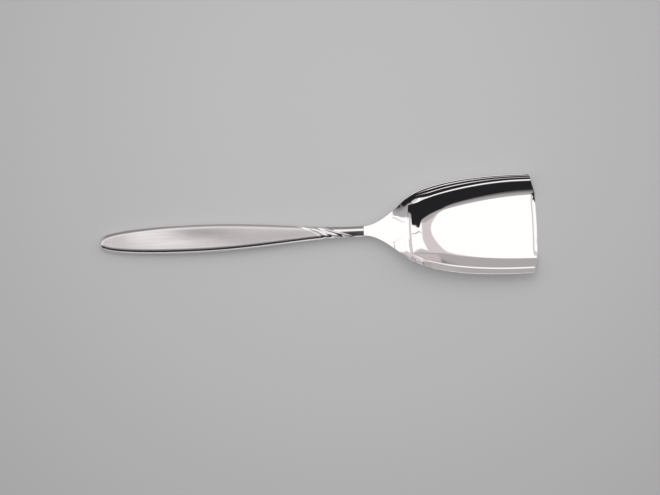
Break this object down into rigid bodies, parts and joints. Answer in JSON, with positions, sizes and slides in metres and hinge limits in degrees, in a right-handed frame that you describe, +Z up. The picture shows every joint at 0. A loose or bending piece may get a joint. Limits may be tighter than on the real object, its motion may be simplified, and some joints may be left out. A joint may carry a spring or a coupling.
{
  "type": "sugar scoop",
  "caption": "Small steel sugar scoop: a flat-floored open-fronted scoop with flared rims on a slender leaf-shaped hollow handle with slanted ridges at its neck.",
  "frame": {"origin": "under the middle of the length, midway across, on the surface that the scoop lies on", "axes": "+X from the tail of the handle to the lip of the scoop, +Y across, +Z up out of the open scoop"},
  "size_m": [0.15, 0.0344, 0.0067],
  "materials": {
    "mirror_steel": "polished",
    "satin_steel": "satin",
    "filler_cement": "matte",
    "solder": "satin"
  },
  "bodies": {
    "root": {"scoop_bowl": "mirror_steel", "handle_front_shell": "satin_steel", "handle_back_shell": "satin_steel", "handle_filler": "filler_cement", "seam_solder": "solder", "neck_solder": "solder"}
  },
  "joints": []
}
